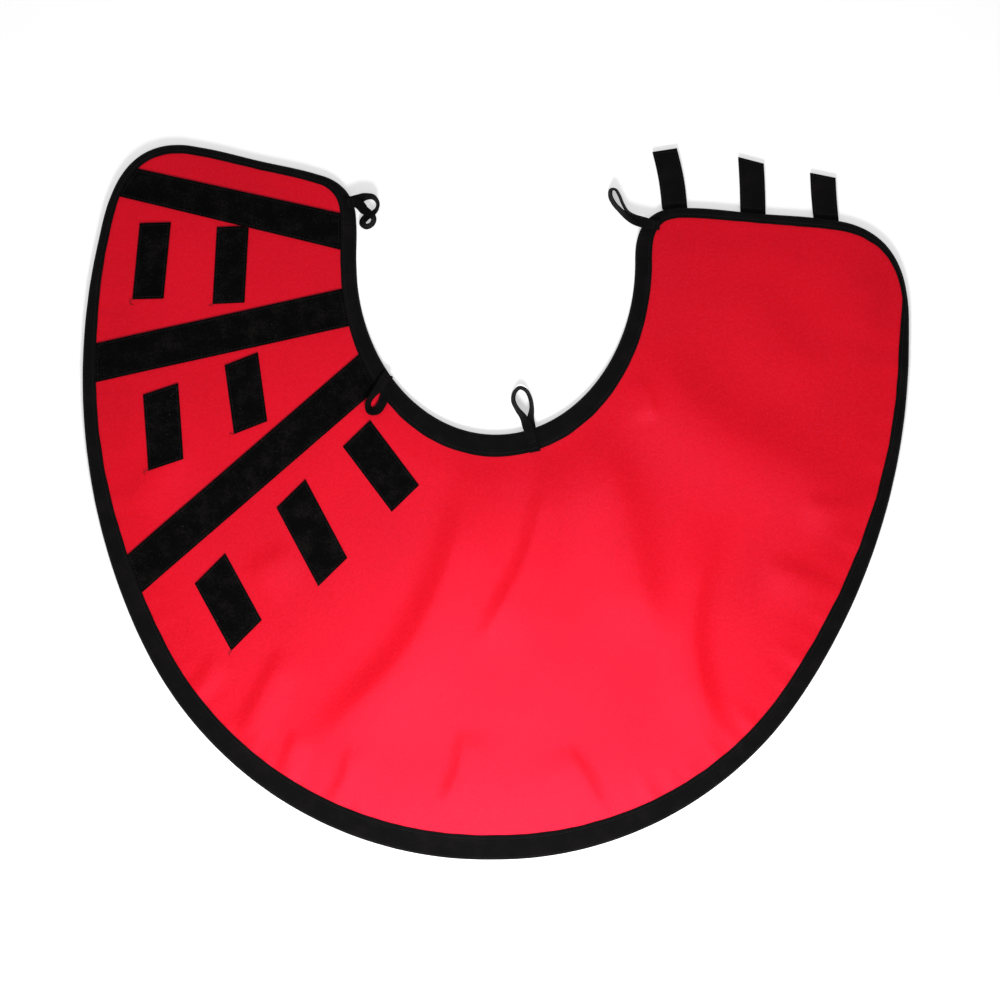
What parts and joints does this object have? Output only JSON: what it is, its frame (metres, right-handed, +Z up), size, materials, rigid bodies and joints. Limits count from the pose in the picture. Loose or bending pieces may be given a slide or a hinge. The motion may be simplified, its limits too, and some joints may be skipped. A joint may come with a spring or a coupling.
{
  "type": "fire blanket",
  "caption": "Horseshoe-shaped fire blanket laid flat, bound in tape, with loop-tape bands and patches on one half, hook tabs on the other end, and cord loops round its neck.",
  "frame": {"origin": "centre of the outline's box, on the floor that the blanket lies on", "axes": "+X along the blanket's width towards the end with the hook tabs, +Y from the hem towards the open ends, +Z up out of the face"},
  "size_m": [0.8274, 0.7159, 0.0108],
  "materials": {
    "red_cloth": "fine woven cloth with a soft sheen",
    "edge_binding": "woven polyester or aramid tape, matt",
    "loop_tape": "loop pile, very matt",
    "hook_strip": "moulded nylon hooks on a woven back",
    "core_felt": "needled mineral-fibre felt",
    "lining_cloth": "plain woven glass cloth"
  },
  "bodies": {
    "left_half": {"outer_shell_left": "red_cloth", "insulation_core_left": "core_felt", "back_lining_left": "lining_cloth", "hem_binding_left": "edge_binding", "neck_binding_left": "edge_binding", "fastener_band_1": "loop_tape", "fastener_band_2": "loop_tape", "fastener_band_3": "loop_tape", "fastener_patch_1_middle": "loop_tape", "fastener_patch_1_outer": "loop_tape", "fastener_patch_2_middle": "loop_tape", "fastener_patch_2_outer": "loop_tape", "fastener_patch_3_inner": "loop_tape", "fastener_patch_3_middle": "loop_tape", "fastener_patch_3_outer": "loop_tape", "neck_loop_1_tail": "edge_binding", "neck_loop_2_tail": "edge_binding"},
    "right_half": {"outer_shell_right": "red_cloth", "insulation_core_right": "core_felt", "back_lining_right": "lining_cloth", "hem_binding_right": "edge_binding", "neck_binding_right": "edge_binding", "neck_loop_3_tail": "edge_binding", "neck_loop_4_tail": "edge_binding"},
    "hook_tab_1_flap": {"hook_tab_1": "edge_binding", "hook_tab_1_hooks": "hook_strip"},
    "hook_tab_2_flap": {"hook_tab_2": "edge_binding", "hook_tab_2_hooks": "hook_strip"},
    "hook_tab_3_flap": {"hook_tab_3": "edge_binding", "hook_tab_3_hooks": "hook_strip"},
    "neck_loop_1_ring": {"neck_loop_1": "edge_binding"},
    "neck_loop_2_ring": {"neck_loop_2": "edge_binding"},
    "neck_loop_3_ring": {"neck_loop_3": "edge_binding"},
    "neck_loop_4_ring": {"neck_loop_4": "edge_binding"}
  },
  "joints": [
    {"name": "fold", "type": "hinge", "parent": "left_half", "child": "right_half", "pos_m": [0, 0, 0.012], "axis": [0, -1, 0], "range_deg": [0, 179.5]},
    {"name": "hook_tab_1_bend", "type": "hinge", "parent": "right_half", "child": "hook_tab_1_flap", "pos_m": [0.17926, 0.29552, 0.0025], "axis": [-1, -0.0081, 0], "range_deg": [-90, 90]},
    {"name": "hook_tab_2_bend", "type": "hinge", "parent": "right_half", "child": "hook_tab_2_flap", "pos_m": [0.25778, 0.29037, 0.0025], "axis": [-0.9966, 0.0828, 0], "range_deg": [-90, 90]},
    {"name": "hook_tab_3_bend", "type": "hinge", "parent": "right_half", "child": "hook_tab_3_flap", "pos_m": [0.331, 0.28429, 0.0025], "axis": [-0.9966, 0.0828, 0], "range_deg": [-90, 90]},
    {"name": "neck_loop_1_swing", "type": "hinge", "parent": "left_half", "child": "neck_loop_1_ring", "pos_m": [-0.14178, 0.30023, 0.0097], "axis": [0.342, 0.9397, 0], "range_deg": [-90, 15]},
    {"name": "neck_loop_2_swing", "type": "hinge", "parent": "left_half", "child": "neck_loop_2_ring", "pos_m": [-0.1153, 0.1166, 0.0097], "axis": [0.9164, -0.4003, 0], "range_deg": [-100, 0]},
    {"name": "neck_loop_3_swing", "type": "hinge", "parent": "right_half", "child": "neck_loop_3_ring", "pos_m": [0.03417, 0.07512, 0.0097], "axis": [-0.9877, -0.1564, 0], "range_deg": [-90, 80]},
    {"name": "neck_loop_4_swing", "type": "hinge", "parent": "right_half", "child": "neck_loop_4_ring", "pos_m": [0.1471, 0.27883, 0.0097], "axis": [-0.6293, -0.7771, 0], "range_deg": [-90, 90]}
  ]
}
